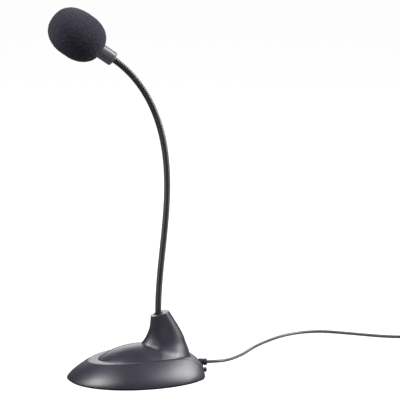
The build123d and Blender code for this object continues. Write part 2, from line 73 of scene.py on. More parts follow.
def add_camera():
    turn = radians(CAMERA_AZIMUTH)
    ahead = Vector((-sin(turn), cos(turn), 0))
    right = Vector((cos(turn), sin(turn), 0))
    data = bpy.data.cameras.new("camera")
    data.lens = CAMERA_LENS
    data.sensor_width = 36.0
    camera = bpy.data.objects.new("camera", data)
    camera.location = right * CAMERA_SIDEWAYS - ahead * CAMERA_BACK + Vector((0, 0, CAMERA_HEIGHT))
    camera.rotation_euler = (radians(90 - CAMERA_PITCH), 0, turn)
    bpy.context.scene.collection.objects.link(camera)
    bpy.context.scene.camera = camera


add_camera()


# ---------------------------------------------------------------- shader helpers
# Sockets of a Mix node that mixes colours, whose names are shared with its other data types.
MIX_FACTOR = 0
MIX_COLOUR_A = 6
MIX_COLOUR_B = 7
MIX_COLOUR_OUT = 2


def new_material(name, colour, roughness, metallic=0.0, sheen=0.0):
    """A Principled material with these plain values."""
    material = bpy.data.materials.new(name)
    material.use_nodes = True
    shader = material.node_tree.nodes["Principled BSDF"]
    shader.inputs["Base Color"].default_value = (*colour, 1)
    shader.inputs["Roughness"].default_value = roughness
    shader.inputs["Metallic"].default_value = metallic
    shader.inputs["Sheen Weight"].default_value = sheen
    return material


def add_node(tree, kind, **settings):
    node = tree.nodes.new(kind)
    for key, value in settings.items():
        if hasattr(node, key):
            setattr(node, key, value)
        else:
            node.inputs[key.replace("_", " ")].default_value = value
    return node


def noise_node(tree, size, detail):
    """Noise in object space whose grain is about size metres."""
    place = add_node(tree, "ShaderNodeTexCoord")
    grain = add_node(tree, "ShaderNodeTexNoise", Scale=1 / size, Detail=detail, Roughness=0.6)
    tree.links.new(place.outputs["Object"], grain.inputs["Vector"])
    return grain


def cell_node(tree, size):
    """Cells in object space about size metres across."""
    place = add_node(tree, "ShaderNodeTexCoord")
    cells = add_node(tree, "ShaderNodeTexVoronoi", feature="F1", Scale=1 / size)
    tree.links.new(place.outputs["Object"], cells.inputs["Vector"])
    return cells


def ramp(tree, socket, low, high):
    """Maps a 0 to 1 socket onto a range between two values or two colours."""
    if isinstance(low, tuple):
        mix = add_node(tree, "ShaderNodeMix", data_type="RGBA")
        tree.links.new(socket, mix.inputs[MIX_FACTOR])
        mix.inputs[MIX_COLOUR_A].default_value = (*low, 1)
        mix.inputs[MIX_COLOUR_B].default_value = (*high, 1)
        return mix.outputs[MIX_COLOUR_OUT]
    span = add_node(tree, "ShaderNodeMapRange", To_Min=low, To_Max=high)
    tree.links.new(socket, span.inputs["Value"])
    return span.outputs["Result"]


def link(material, socket, name):
    """Feeds a socket into one of the material's own inputs."""
    tree = material.node_tree
    tree.links.new(socket, tree.nodes["Principled BSDF"].inputs[name])


def bump(material, height, depth):
    """Adds a bump that many metres deep."""
    tree = material.node_tree
    node = add_node(tree, "ShaderNodeBump", Distance=depth, Strength=1.0)
    tree.links.new(height, node.inputs["Height"])
    link(material, node.outputs["Normal"], "Normal")


def contrast(tree, socket, low, high):
    """Stretches a narrow band of a socket to 0 to 1."""
    span = add_node(tree, "ShaderNodeMapRange", From_Min=low, From_Max=high)
    tree.links.new(socket, span.inputs["Value"])
    return span.outputs["Result"]


def product(tree, first, second):
    """Multiplies two sockets."""
    both = add_node(tree, "ShaderNodeMath", operation="MULTIPLY")
    tree.links.new(first, both.inputs[0])
    tree.links.new(second, both.inputs[1])
    return both.outputs[0]


# ---------------------------------------------------------------- materials
shell_dark = (0.013, 0.0125, 0.021)
shell_light = (0.024, 0.023, 0.036)
# The foam's pores are painted darker than its struts: painted shade in the holes.
pore_painted_shade = (0.012, 0.0105, 0.0175)
foam_strut = (0.029, 0.0255, 0.041)
# Winding colours: painted shade in the grooves and a painted highlight on the crests.
groove_painted_shade = (0.004, 0.0035, 0.0045)
crest_painted_highlight = (0.055, 0.05, 0.055)
CLOUD_SHARE = 0.35           # of a moulding's colour range; its grain takes the rest


def moulded_plastic(name, dark, light, roughness, grain=0.00035, depth=0.00002):
    """Satin moulded plastic: spark-eroded grain, faint cloudy colour and uneven gloss."""
    material = new_material(name, dark, roughness)
    tree = material.node_tree
    cloud = contrast(tree, noise_node(tree, size=0.012, detail=2.0).outputs["Fac"], low=0.35, high=0.65)
    speck = contrast(tree, noise_node(tree, size=grain, detail=1.0).outputs["Fac"], low=0.35, high=0.65)
    both = add_node(tree, "ShaderNodeMath", operation="MULTIPLY_ADD")
    tree.links.new(cloud, both.inputs[0])
    both.inputs[1].default_value = CLOUD_SHARE
    tree.links.new(ramp(tree, speck, 0.0, 1 - CLOUD_SHARE), both.inputs[2])
    link(material, ramp(tree, both.outputs[0], dark, light), "Base Color")
    link(material, ramp(tree, speck, roughness - 0.05, roughness + 0.07), "Roughness")
    bump(material, speck, depth)
    return material


def foam_material():
    """Open-cell foam: painted shade darkens the pores between lighter struts, and a soft sheen."""
    material = new_material("windscreen_foam", (0.02, 0.018, 0.027), 0.95, sheen=0.04)
    tree = material.node_tree
    shader = tree.nodes["Principled BSDF"]
    shader.inputs["Sheen Roughness"].default_value = 0.6
    shader.inputs["Specular IOR Level"].default_value = 0.2
    cells = contrast(tree, cell_node(tree, size=0.0007).outputs["Distance"], low=0.1, high=0.75)
    blotch = contrast(tree, noise_node(tree, size=0.0012, detail=3.0).outputs["Fac"], low=0.3, high=0.7)
    # Pores get painted shade and struts the lighter colour; the same pattern also drives the bump.
    struts = product(tree, cells, ramp(tree, blotch, 0.45, 1.0))
    link(material, ramp(tree, struts, pore_painted_shade, foam_strut), "Base Color")
    bump(material, struts, 0.0003)
    return material


def winding_material():
    """Dark plated spring wire, with a painted highlight on the crests and painted shade making the grooves nearly
    black.
    """
    material = new_material("neck_steel", (0.2, 0.19, 0.2), 0.22, metallic=0.5)
    tree = material.node_tree
    geometry = add_node(tree, "ShaderNodeNewGeometry")
    # Pointiness paints the crests lighter and the grooves darker: painted highlight and painted shade.
    crest = contrast(tree, geometry.outputs["Pointiness"], low=0.45, high=0.55)
    smudge = contrast(tree, noise_node(tree, size=0.004, detail=3.0).outputs["Fac"], low=0.3, high=0.7)
    crest_highlight_groove_shade = product(tree, crest, ramp(tree, smudge, 0.9, 1.0))
    link(material, ramp(tree, crest_highlight_groove_shade, groove_painted_shade, crest_painted_highlight), "Base Color")
    link(material, ramp(tree, smudge, 0.20, 0.24), "Roughness")
    fine = noise_node(tree, size=0.0003, detail=2.0)
    bump(material, fine.outputs["Fac"], 0.00001)
    return material


def rubber(name, colour, roughness=0.7):
    """Matt rubber with a fine mottle."""
    material = new_material(name, colour, roughness)
    tree = material.node_tree
    fine = contrast(tree, noise_node(tree, size=0.0004, detail=2.0).outputs["Fac"], low=0.3, high=0.7)
    lighter = tuple(channel * 1.6 for channel in colour)
    link(material, ramp(tree, fine, colour, lighter), "Base Color")
    bump(material, fine, 0.00003)
    return material


def metal(name, colour, roughness, brushed=0.0004):
    """Bare or plated metal with fine lines along X and slight tarnish."""
    material = new_material(name, colour, roughness, metallic=1.0)
    tree = material.node_tree
    place = add_node(tree, "ShaderNodeTexCoord")
    stretch = add_node(tree, "ShaderNodeMapping")
    stretch.inputs["Scale"].default_value = (0.05, 1, 1)
    lines = add_node(tree, "ShaderNodeTexNoise", Scale=1 / brushed, Detail=2.0)
    tree.links.new(place.outputs["Object"], stretch.inputs["Vector"])
    tree.links.new(stretch.outputs["Vector"], lines.inputs["Vector"])
    tarnish = contrast(tree, noise_node(tree, size=0.003, detail=3.0).outputs["Fac"], low=0.3, high=0.8)
    darker = tuple(channel * 0.75 for channel in colour)
    link(material, ramp(tree, tarnish, colour, darker), "Base Color")
    link(material, ramp(tree, lines.outputs["Fac"], roughness - 0.06, roughness + 0.12), "Roughness")
    bump(material, lines.outputs["Fac"], 0.000008)
    return material


def felt(name, colour):
    """Felted fibres with a soft sheen."""
    material = new_material(name, colour, 0.95, sheen=0.4)
    tree = material.node_tree
    fibres = noise_node(tree, size=0.0002, detail=4.0)
    lighter = tuple(channel * 2 for channel in colour)
    link(material, ramp(tree, fibres.outputs["Fac"], colour, lighter), "Base Color")
    bump(material, fibres.outputs["Fac"], 0.0001)
    return material


looks = {
    "shell_plastic": moulded_plastic("shell_plastic", shell_dark, shell_light, 0.36),
    "cover_plastic": moulded_plastic("cover_plastic", shell_dark, shell_light, 0.35),
    "plate_plastic": moulded_plastic("plate_plastic", (0.006, 0.006, 0.007), (0.011, 0.011, 0.012), 0.6),
    "pad_rubber": rubber("pad_rubber", (0.006, 0.006, 0.007), 0.85),
    "ballast_iron": metal("ballast_iron", (0.14, 0.135, 0.13), 0.65, 0.002),
    "screw_steel": metal("screw_steel", (0.5, 0.5, 0.48), 0.3),
    "bush_rubber": rubber("bush_rubber", (0.006, 0.006, 0.0065), 0.5),
    "switch_can": metal("switch_can", (0.6, 0.6, 0.58), 0.3),
    "switch_board": moulded_plastic("switch_board", (0.16, 0.09, 0.04), (0.22, 0.13, 0.06), 0.6),
    "contact_brass": metal("contact_brass", (0.75, 0.56, 0.26), 0.3),
    "knob_plastic": moulded_plastic("knob_plastic", (0.006, 0.006, 0.007), (0.012, 0.012, 0.013), 0.4),
    "ferrule_brass": metal("ferrule_brass", (0.7, 0.53, 0.25), 0.3),
    "clamp_steel": metal("clamp_steel", (0.45, 0.45, 0.45), 0.35),
    "neck_steel": winding_material(),
    "lead_insulation": moulded_plastic("lead_insulation", (0.01, 0.01, 0.011), (0.018, 0.018, 0.019), 0.45),
    "wire_insulation": moulded_plastic("wire_insulation", (0.35, 0.02, 0.015), (0.5, 0.03, 0.02), 0.45),
    "barrel_plastic": moulded_plastic("barrel_plastic", (0.078, 0.077, 0.084), (0.094, 0.093, 0.101), 0.34,
                                      depth=0.000004),
    "circuit_board": moulded_plastic("circuit_board", (0.02, 0.12, 0.04), (0.03, 0.18, 0.06), 0.4),
    "capsule_aluminium": metal("capsule_aluminium", (0.75, 0.75, 0.77), 0.28),
    "holder_rubber": rubber("holder_rubber", (0.008, 0.008, 0.008)),
    "capsule_felt": felt("capsule_felt", (0.01, 0.01, 0.01)),
    "grille_steel": metal("grille_steel", (0.25, 0.25, 0.27), 0.35),
    "windscreen_foam": foam_material(),
    "cable_pvc": moulded_plastic("cable_pvc", (0.050, 0.050, 0.052), (0.080, 0.080, 0.084), 0.34, 0.0008),
    "tie_plastic": moulded_plastic("tie_plastic", (0.008, 0.008, 0.008), (0.014, 0.014, 0.014), 0.4),
    "plug_plastic": moulded_plastic("plug_plastic", (0.008, 0.008, 0.009), (0.015, 0.015, 0.016), 0.42),
    "plug_metal": metal("plug_metal", (0.72, 0.71, 0.68), 0.18),
    "plug_insulator": moulded_plastic("plug_insulator", (0.008, 0.008, 0.008), (0.014, 0.014, 0.014), 0.4),
}
slot_of = {part["node"]: part["material_slot"] for part in frame["record"]["subparts"]}
for name, node in nodes.items():
    node.data.materials.clear()
    node.data.materials.append(looks[slot_of[name]])


# ---------------------------------------------------------------- piece helpers
def finish_piece(piece, slot, body=None):
    """Gives a new piece its material and slot, and lets it ride on its body."""
    piece.data.materials.append(looks[slot])
    if body:
        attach(piece, body)
    return piece


def mesh_piece(name, points, faces, smooth=True):
    mesh = bpy.data.meshes.new(name)
    mesh.from_pydata(points, [], faces)
    mesh.validate()
    mesh.polygons.foreach_set("use_smooth", [smooth] * len(mesh.polygons))
    piece = bpy.data.objects.new(name, mesh)
    bpy.context.scene.collection.objects.link(piece)
    return piece


def grid_faces(rows, columns, closed_rows=False):
    """Quads of a grid whose columns close on themselves, and whose rows may."""
    faces = []
    last = rows if closed_rows else rows - 1
    for i in range(last):
        ahead = (i + 1) % rows
        for j in range(columns):
            beside = (j + 1) % columns
            near, far = i * columns, ahead * columns
            faces.append((near + j, near + beside, far + beside, far + j))
    return faces


# ---------------------------------------------------------------- output cable
CORD_RADIUS = 1.2 * MM
COIL_CENTRE = Vector((-56.0, 247.0)) * MM
COIL_OUTER = 18.0 * MM
COIL_LAYERS = 4
TURNS_ACROSS = 4
COIL_FLOOR = 1.5 * MM
POINTS_PER_TURN = 18
STEP_POINTS = 3              # each change of ring or layer takes the last points of a turn
LEAD_ROUTE = [
    (-6.5, 54.5, 7.0),
    (-6.5, 63.7, 7.0),
    (-12.8, 72.0, 6.0),
    (-27.0, 81.0, 4.0),
    (-46.0, 91.0, 1.4),
    (-72.0, 107.0, 1.2),
    (-102.0, 137.0, 1.2),
    (-109.0, 165.0, 1.2),
    (-97.0, 188.0, 1.2),
    (-78.0, 218.0, 1.3),
    (-74.0, 245.0, 1.5),
]
TAIL_ROUTE = [
    (-54.0, 265.0, 8.7),
    (-42.0, 264.8, 7.7),
    (-31.0, 262.5, 4.0),
    (-20.0, 262.5, 4.0),
]


def coil_turn_place(turn):
    """Radius and height of one whole turn, counted from 0, outside in and then inside out."""
    layer, ring = divmod(turn, TURNS_ACROSS)
    if layer % 2:
        ring = TURNS_ACROSS - 1 - ring
    return COIL_OUTER - 2 * CORD_RADIUS * ring, COIL_FLOOR + 2 * CORD_RADIUS * layer


def coil_points():
    """Turns of the put-away cable, clockwise seen from above, ending a quarter turn into the last."""
    points = []
    hug = 1 / cos(pi / POINTS_PER_TURN)
    last_turn = COIL_LAYERS * TURNS_ACROSS - 1
    for turn in range(last_turn + 1):
        radius, height = coil_turn_place(turn)
        steps = POINTS_PER_TURN
        if turn == last_turn:
            steps = POINTS_PER_TURN // 4
            target = (radius, height)
        else:
            target = coil_turn_place(turn + 1)
        for step in range(steps):
            over = max(step - (POINTS_PER_TURN - STEP_POINTS), 0) / STEP_POINTS
            r = (radius + (target[0] - radius) * over) * hug
            z = height + (target[1] - height) * over
            angle = pi - 2 * pi * (step + 0.5) / POINTS_PER_TURN
            points.append((COIL_CENTRE.x + r * cos(angle), COIL_CENTRE.y + r * sin(angle), z))
    return points


def output_cable():
    """The free cable: from the bush over the table, round the coil and on to the plug."""
    points = [Vector(p) * MM for p in LEAD_ROUTE] + coil_points() + [Vector(p) * MM for p in TAIL_ROUTE]
    curve = bpy.data.curves.new("output_cable", "CURVE")
    curve.dimensions = "3D"
    spline = curve.splines.new("NURBS")
    spline.points.add(len(points) - 1)
    for point, place in zip(spline.points, points):
        point.co = (*place, 1)
    spline.order_u = 3
    spline.use_endpoint_u = True
    spline.resolution_u = 6
    curve.bevel_depth = CORD_RADIUS
    curve.bevel_resolution = 5
    curve.use_fill_caps = True
    cable = bpy.data.objects.new("output_cable", curve)
    bpy.context.scene.collection.objects.link(cable)
    finish_piece(cable, "cable_pvc", "base")
    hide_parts("cord_lead", "cord_coil", "cord_tail")


output_cable()


# ---------------------------------------------------------------- neck line
NECK_FOOT = Vector((0, 16.8, 47.5)) * MM
NECK_LEAN = 0.259            # degrees of heading for each mm of arc length
NECK_DROOP = 0.00268         # how much of that is lost, in degrees for each mm squared
NECK_LENGTH = 200.0
NECK_RADIUS = 2.4
NECK_BORE = 1.3
NECK_BELOW = 18.0            # length inside the tower
NECK_BEYOND = 7.0            # length inside the head
NECK_BODIES = 9
NECK_SPAN = 20.0             # from one mid-length to the next, with one joint between
WIRE_PITCH = NECK_SPAN / 12  # twelve turns of wire to each span
GROOVE_DEPTH = 0.42
LINE_STEP = 0.5              # millimetres between the centre line's stored points
WIRE_SIDES = 28
ROWS_PER_PITCH = 10
BORE_ROWS = 12


def neck_heading(s):
    """Lean of the neck at arc length s, in radians from upright."""
    t = min(max(s, 0.0), NECK_LENGTH)
    return radians(NECK_LEAN * t - NECK_DROOP * t * t)


def neck_line():
    """Points of the neck's centre line in millimetres, LINE_STEP apart, from the foot up."""
    y, z = NECK_FOOT.y / MM, NECK_FOOT.z / MM
    places = [(y, z)]
    for i in range(int(NECK_LENGTH / LINE_STEP)):
        heading = neck_heading(LINE_STEP * (i + 0.5))
        y += sin(heading) * LINE_STEP
        z += cos(heading) * LINE_STEP
        places.append((y, z))
    return places


line = neck_line()


def neck_point(s):
    """Centre of the neck in millimetres at arc length s, straight beyond both ends."""
    index = min(max(s / LINE_STEP, 0.0), len(line) - 1.0)
    low = min(int(index), len(line) - 2)
    y = line[low][0] + (line[low + 1][0] - line[low][0]) * (index - low)
    z = line[low][1] + (line[low + 1][1] - line[low][1]) * (index - low)
    past = s - index * LINE_STEP
    heading = neck_heading(s)
    return Vector((0, y + sin(heading) * past, z + cos(heading) * past))


def neck_frame(s):
    """Centre, sideways and outward directions of the neck's cross-section at s."""
    heading = neck_heading(s)
    return neck_point(s), Vector((1, 0, 0)), Vector((0, cos(heading), -sin(heading)))


def wire_profile(phase):
    """Outer radius over one pitch: a round wire crest between narrow grooves."""
    across = 2 * (phase % 1.0) - 1
    return NECK_RADIUS - GROOVE_DEPTH * (1 - sqrt(max(1 - across * across, 0.0)))


def wound_length(name, start, end):
    """One closed length of the helical winding, with its bore."""
    points = []

    def add_ring(s, radius_at):
        centre, side, out = neck_frame(s)
        for j in range(WIRE_SIDES):
            turn = j / WIRE_SIDES
            angle = 2 * pi * turn
            points.append((centre + (side * cos(angle) + out * sin(angle)) * radius_at(s, turn)) * MM)

    rows = round((end - start) / WIRE_PITCH * ROWS_PER_PITCH) + 1
    for i in range(rows):
        add_ring(start + (end - start) * i / (rows - 1), lambda s, turn: wire_profile(s / WIRE_PITCH - turn))
    for i in range(BORE_ROWS):
        add_ring(end + (start - end) * i / (BORE_ROWS - 1), lambda s, turn: NECK_BORE)
    return mesh_piece(name, points, grid_faces(rows + BORE_ROWS, WIRE_SIDES, closed_rows=True))


def neck():
    """The winding in ten lengths, each running across one joint."""
    links = ["base"] + [f"neck_{i}" for i in range(1, NECK_BODIES + 1)] + ["head"]
    count = len(links) - 1
    for i in range(count):
        start = -NECK_BELOW if i == 0 else NECK_SPAN * i
        end = NECK_LENGTH + NECK_BEYOND if i == count - 1 else NECK_SPAN * (i + 1)
        piece = wound_length(f"neck_wire_{i:02d}", start, end)
        finish_piece(piece, "neck_steel")
        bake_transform(piece)
        stands_for = [f"neck_winding_{i:02d}"] + (["neck_winding_10"] if i == count - 1 else [])
        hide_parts(*stands_for)


neck()


# ---------------------------------------------------------------- head
HEAD_HEADING = neck_heading(NECK_LENGTH)
HEAD_ORIGIN = neck_point(NECK_LENGTH)
BARREL_RADIUS = 5.45
BARREL_LENGTH = 30.0
FOAM_START = 10.3
FOAM_LENGTH = 42.5
FOAM_RADIUS = 17.2
FOAM_POWER = 2.3             # roundness of the foam's outline: 2 is an ellipse, more is blunter
FOAM_LIP = 1.0               # rounding of the mouth's edge
FOAM_BORE = BARREL_RADIUS + 0.04
FOAM_BOTTOM = BARREL_LENGTH + 0.2
FOAM_AROUND = 260
OUTER_STEPS = 150
LIP_STEPS = 5
BORE_STEPS = 20
PORE_SIZE = 0.85
PORE_DEPTH = 0.11
PIT_WIDTH = 0.55             # share of a cell that slopes
PIT_LEVEL = 0.6              # share of a pit's depth that lies under the body's outline
LUMPS = ((0.16, 2.1), (0.18, 9.0))   # height and size of the skin's unevenness


def on_head(x, y, along):
    """A point in the head's own frame, brought to the row frame in metres."""
    heading = HEAD_HEADING
    out = Vector((0, cos(heading), -sin(heading)))
    axis = Vector((0, sin(heading), cos(heading)))
    return (HEAD_ORIGIN + Vector((x, 0, 0)) + out * y + axis * along) * MM


def foam_profile():
    """(radius, along) from the closed tip over the outside, round the mouth and down the bore."""
    profile = []
    mouth = FOAM_BORE + FOAM_LIP
    for i in range(OUTER_STEPS + 1):
        along = cos(pi * i / OUTER_STEPS)
        radius = FOAM_RADIUS * max(1 - abs(along) ** FOAM_POWER, 0.0) ** (1 / FOAM_POWER)
        if i > OUTER_STEPS / 2 and radius < mouth:
            break
        profile.append((radius, FOAM_START + FOAM_LENGTH * (1 + along) / 2))
    rim = profile[-1][1]
    for i in range(1, LIP_STEPS + 1):
        turn = pi / 2 * i / LIP_STEPS
        profile.append((mouth - FOAM_LIP * sin(turn), rim + FOAM_LIP * (1 - cos(turn))))
    for i in range(1, BORE_STEPS + 1):
        along = rim + FOAM_LIP + (FOAM_BOTTOM - rim - FOAM_LIP) * i / BORE_STEPS
        profile.append((FOAM_BORE, along))
    profile.append((0.0, FOAM_BOTTOM))
    return profile


def pore_height(place):
    """Depth pattern of the foam's cells in millimetres: fine pits on a slightly lumpy body."""
    near = noise.voronoi(place / PORE_SIZE)[0][0]
    pits = min(near / PIT_WIDTH, 1.0) - PIT_LEVEL
    return PORE_DEPTH * pits + sum(height * noise.noise(place / size) for height, size in LUMPS)


def windscreen():
    """Foam body: a blunt ellipsoid with a bore, its skin broken up by pores."""
    profile = foam_profile()
    middle = Vector((0, 0, FOAM_START + FOAM_LENGTH / 2))
    last_of_skin = len(profile) - 2 - BORE_STEPS
    points, rings = [], []
    for i, (radius, along) in enumerate(profile):
        ring = []
        for j in range(FOAM_AROUND if radius else 1):
            angle = 2 * pi * j / FOAM_AROUND
            place = Vector((radius * cos(angle), radius * sin(angle), along))
            if i <= last_of_skin:
                outward = (place - middle).normalized()
                place = place + outward * pore_height(place)
            ring.append(len(points))
            points.append(on_head(*place))
        rings.append(ring)
    faces = []
    for first, second in zip(rings, rings[1:]):
        for j in range(FOAM_AROUND):
            corners = ((first, j), (second, j), (second, j + 1), (first, j + 1))
            face = dict.fromkeys(ring[place % len(ring)] for ring, place in corners)
            faces.append(tuple(face))
    piece = mesh_piece("foam_windscreen", points, faces)
    finish_piece(piece, "windscreen_foam", "windscreen")
    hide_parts("windscreen")


windscreen()


# ---------------------------------------------------------------- base
# In millimetres. The nose, ledge, dome and the tower's rear differ from the solids' by up to about 2 mm.
BASE_HALF_WIDTH = 38.5
WIDEST_Y = -2.0
NOSE_REACH = 49.9
HEEL_REACH = 56.5
REAR_CORNER_Y = 49.5
REAR_BULGE = 1.4
REAR_DRAFT = 0.19
REAR_HALF_WIDTH = 18.0
INSET = 16.0
INSET_HEIGHT = 17.3
SIDE_POWER = 1.7
END_POWER = 1.4
NOSE_LEAN = 1.42
HEEL_LEAN = 0.43
LEDGE_TOP = (14.0, 16.9)     # y and z of the arch's crown
LEDGE_RADIUS = 400.0
HEEL_START_Y = 30.0
HEEL_RADIUS = 28.0
DOME_CENTRE = (0.0, 4.0, -40.0)
DOME_HALF_WIDTH = 43.9
DOME_FRONT = 59.3
DOME_REAR = 64.8
DOME_HEIGHT = 65.0
TOWER_STATIONS = (           # height, y of the front, y of the rear, half width
    (14.0, 0.0, 41.0, 15.0),
    (20.0, 1.8, 39.3, 12.6),
    (25.0, 4.6, 37.4, 10.4),
    (30.0, 7.6, 35.7, 8.7),
    (36.0, 10.0, 32.6, 7.5),
    (43.0, 11.0, 28.4, 6.9),
    (51.0, 11.3, 23.6, 6.5),
)
TOWER_TOP = (17.3, 47.4)     # y and z on the slanted top
TOWER_SLANT = 17.0
SIDE_BLEND = 5.0             # softness of the hollow where the tower rises from the upper tier
END_BLEND = 1.5              # the same ahead of the tower and behind it
BLEND_FRONT = (10.0, 8.0)    # y where the softness starts to grow, and over what length
BLEND_REAR = (38.0, 10.0)    # y where it has ended, and over what length
NECK_HOLE = 3.0
PAD_TOP = 1.2
SEAM_DEPTH = 0.45            # groove where the cover meets the ledge
SEAM_WIDTH = 0.35
SHELL_WALL = 1.6
COVER_WALL = 1.4
TUCK = 1.5                   # how far the lower body reaches under the cover
LIP_SOFTNESS = 0.22          # rounding of the lip between the flank and the ledge
CORNER_SOFTNESS = 1.2        # rounding between the flank and the rear wall
TOP_SOFTNESS = 0.5           # rounding round the tower's slanted top
WELL_DEPTH = 6.0             # of the neck's hole
WELL_EDGE = 0.12             # half the width over which the hole's wall falls
FOOT_DROP = 0.35             # rounding of the cover's foot, down and across
FOOT_REACH = 0.3
FOOT_OVERHANG = 0.02         # of the cover's foot past the line where it meets the ledge
WELL_INSET = 0.1             # of the skin's inner edge from the neck's hole
REAR_WALL_Y = 46.0           # everything beyond this is rear wall
SLOT_ROOM = (0.25, 0.2)      # round the knob, sideways and up
EDGE_LIMIT = 62.0            # longest ray looked along for the base's edge
FOOT_LIMIT = 60.0            # and for the cover's foot
FLANK_SPAN = (-6.0, 30.0)    # heights between which the flank is looked for
TOWER_SPAN = (-12.0, 58.0)
HALVINGS = 18
SHELL_GRID = (360, 90)       # points round the outline, and rows along the slope
COVER_GRID = (320, 190)


def lower(a, b, soft):
    """Smooth minimum: rounds the edge where two heights cross."""
    return 0.5 * (a + b - np.sqrt((a - b) ** 2 + soft**2))


def higher(a, b, soft):
    """Smooth maximum: fills the hollow where two heights cross."""
    return 0.5 * (a + b + np.sqrt((a - b) ** 2 + soft**2))


def ease(value):
    """0 up to 0, 1 from 1 on, and a smooth step between."""
    t = np.clip(value, 0.0, 1.0)
    return t * t * (3 - 2 * t)


def height_where(outside, low, high, shape):
    """Bisects for the height at which a point passes outside a section that shrinks upwards."""
    bottom = np.full(shape, float(low))
    top = np.full(shape, float(high))
    for _ in range(HALVINGS):
        middle = (bottom + top) / 2
        out = outside(middle)
        top = np.where(out, middle, top)
        bottom = np.where(out, bottom, middle)
    return (bottom + top) / 2


def flank_height(x, y):
    """Height of the leaning flank and rear wall over a plan point, negative outside the foot."""
    def outside(z):
        level = np.maximum(z, 0) / INSET_HEIGHT
        half_width = BASE_HALF_WIDTH - INSET * level**SIDE_POWER - np.minimum(z, 0)
        ends = INSET * level**END_POWER + np.minimum(z, 0)
        reach = np.where(y < WIDEST_Y, NOSE_REACH - NOSE_LEAN * ends, HEEL_REACH - HEEL_LEAN * ends)
        return (x / half_width) ** 2 + ((y - WIDEST_Y) / reach) ** 2 > 1

    side = height_where(outside, *FLANK_SPAN, x.shape)
    wall_y = REAR_CORNER_Y + REAR_BULGE * (1 - (x / REAR_HALF_WIDTH) ** 2)
    rear = (wall_y - y) / REAR_DRAFT
    return lower(side, rear, CORNER_SOFTNESS)


def ledge_height(y):
    """Height of the ledge: a flat arch, then the round heel."""
    crown_y, crown_z = LEDGE_TOP
    turn = asin((HEEL_START_Y - crown_y) / LEDGE_RADIUS)
    offset = LEDGE_RADIUS - HEEL_RADIUS
    heel_y = crown_y + offset * sin(turn)
    heel_z = crown_z - LEDGE_RADIUS + offset * cos(turn)
    arch = crown_z - LEDGE_RADIUS + np.sqrt(LEDGE_RADIUS**2 - (y - crown_y) ** 2)
    heel = heel_z + np.sqrt(np.maximum(HEEL_RADIUS**2 - (y - heel_y) ** 2, 0.0))
    return np.where(y < HEEL_START_Y, arch, heel)


def dome_height(x, y):
    """Height of the upper tier's ellipsoid, falling steadily outside it."""
    reach = np.where(y < DOME_CENTRE[1], DOME_FRONT, DOME_REAR)
    out = (x / DOME_HALF_WIDTH) ** 2 + ((y - DOME_CENTRE[1]) / reach) ** 2
    return DOME_CENTRE[2] + DOME_HEIGHT * np.where(out < 1, np.sqrt(np.maximum(1 - out, 0)), 1 - out)


def tower_height(x, y):
    """Height of the tower's side over a plan point."""
    heights = [station[0] for station in TOWER_STATIONS]

    def outside(z):
        front, rear, half_width = (
            smooth_interpolation(z, heights, [station[k] for station in TOWER_STATIONS]) for k in (1, 2, 3))
        return (x / half_width) ** 2 + ((y - (front + rear) / 2) / ((rear - front) / 2)) ** 2 > 1

    return height_where(outside, *TOWER_SPAN, x.shape)


def smooth_interpolation(at, places, values):
    """Cubic through the values, straight beyond both ends."""
    places, values = np.array(places), np.array(values)
    slopes = np.gradient(values, places)
    k = np.clip(np.searchsorted(places, at) - 1, 0, len(places) - 2)
    span = places[k + 1] - places[k]
    t = (at - places[k]) / span
    inside = np.clip(t, 0, 1)
    t2, t3 = inside**2, inside**3
    curve = ((2 * t3 - 3 * t2 + 1) * values[k] + (t3 - 2 * t2 + inside) * span * slopes[k]
             + (3 * t2 - 2 * t3) * values[k + 1] + (t3 - t2) * span * slopes[k + 1])
    beyond = np.where(t < 0, t * span * slopes[k], np.where(t > 1, (t - 1) * span * slopes[k + 1], 0.0))
    return curve + beyond


def cover_height(x, y):
    """Upper tier and tower in one skin, cut by the slanted top."""
    beside = ease((y - BLEND_FRONT[0]) / BLEND_FRONT[1]) * ease((BLEND_REAR[0] - y) / BLEND_REAR[1])
    blend = END_BLEND + (SIDE_BLEND - END_BLEND) * beside
    body = higher(dome_height(x, y), tower_height(x, y), blend)
    slant = radians(TOWER_SLANT)
    top = TOWER_TOP[1] + (y - TOWER_TOP[0]) * sin(slant) / cos(slant)
    return lower(body, top, TOP_SOFTNESS)


EDGE_SAMPLES = 2001          # for measuring along an edge
RAY_SAMPLES = 700            # for measuring along a slope
CROWDING = 1.5               # over 1 crowds those samples towards the inner radius


def rays(centre_y, turns, radii):
    """Plan points along rays from a centre on the Y axis, one column for each turn."""
    x = radii * np.cos(turns)[:, None]
    y = centre_y + radii * np.sin(turns)[:, None]
    return x, y


def first_radius(centre_y, turns, outside, longest):
    """For each ray, the radius beyond which the condition holds."""
    near = np.zeros(len(turns))
    far = np.full(len(turns), longest)
    for _ in range(HALVINGS):
        middle = (near + far) / 2
        x, y = rays(centre_y, turns, middle[:, None])
        out = outside(x, y)[:, 0]
        far = np.where(out, middle, far)
        near = np.where(out, near, middle)
    return (near + far) / 2


def even_turns(count, edge_radius):
    """Ray angles spaced evenly along an edge, not by angle."""
    fine = np.linspace(0, 2 * pi, EDGE_SAMPLES)
    radius = edge_radius(fine)
    x, y = radius * np.cos(fine), radius * np.sin(fine)
    along = np.concatenate([[0], np.cumsum(np.hypot(np.diff(x), np.diff(y)))])
    return np.interp(np.linspace(0, along[-1], count, endpoint=False), along, fine)


